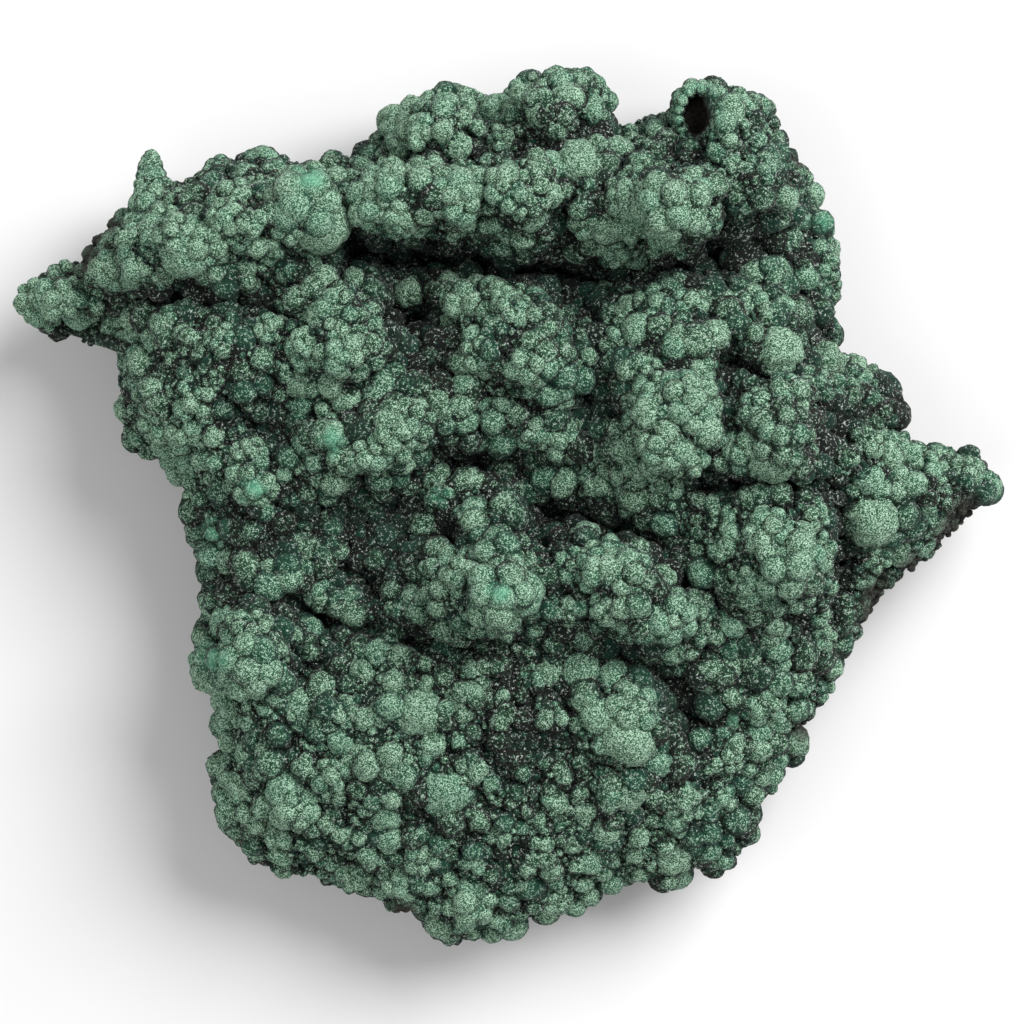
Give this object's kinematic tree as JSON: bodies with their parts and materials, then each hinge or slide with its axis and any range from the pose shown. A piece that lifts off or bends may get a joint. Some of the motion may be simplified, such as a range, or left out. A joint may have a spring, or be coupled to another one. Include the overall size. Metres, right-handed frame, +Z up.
{
  "type": "malachite specimen",
  "caption": "Irregular hand-sized stone with a crowded, rounded, velvety green face and a dark, flat back that it rests on.",
  "frame": {"origin": "the middle of the stone's bounding box, on the flat underside that it rests on", "axes": "+Z is up, out of the lumpy face; +X runs along the longest extent, towards the eastern spur; +Y is towards the high northern ridge's side"},
  "size_m": [0.1102, 0.0978, 0.0337],
  "materials": {
    "malachite": "velvety, matt druse"
  },
  "bodies": {
    "root": {"malachite_specimen": "malachite"}
  },
  "joints": []
}
